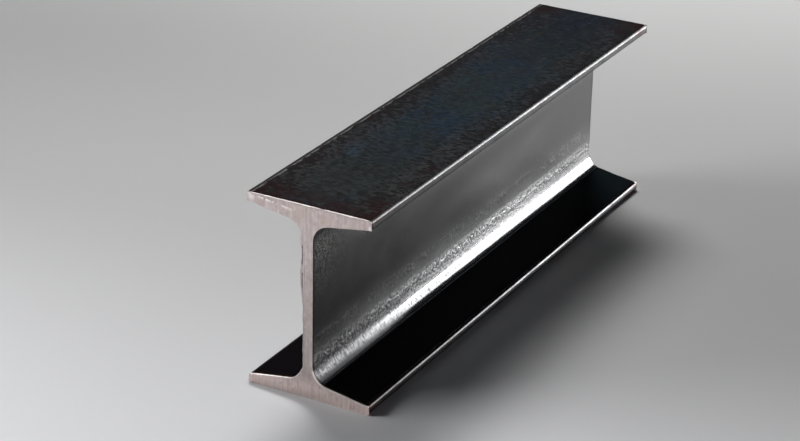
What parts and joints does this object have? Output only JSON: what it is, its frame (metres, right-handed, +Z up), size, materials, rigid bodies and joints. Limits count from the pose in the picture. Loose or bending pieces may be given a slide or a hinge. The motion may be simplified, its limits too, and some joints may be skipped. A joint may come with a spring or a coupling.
{
  "type": "steel i-beam",
  "caption": "Short length of hot-rolled steel I-beam with tapered flanges, rounded roots and toes, dark mill scale and square sawn ends.",
  "frame": {"origin": "middle of the lower flange's underside", "axes": "+Y along the beam, +Z up the web from the lower to the upper flange, +X across the flanges"},
  "size_m": [0.0676, 0.314, 0.1016],
  "materials": {
    "rolled_steel": "hot-rolled, blue-black mill scale with a semi-gloss sheen, bare saw-cut steel on both ends"
  },
  "bodies": {
    "root": {"i_beam": "rolled_steel"}
  },
  "joints": []
}
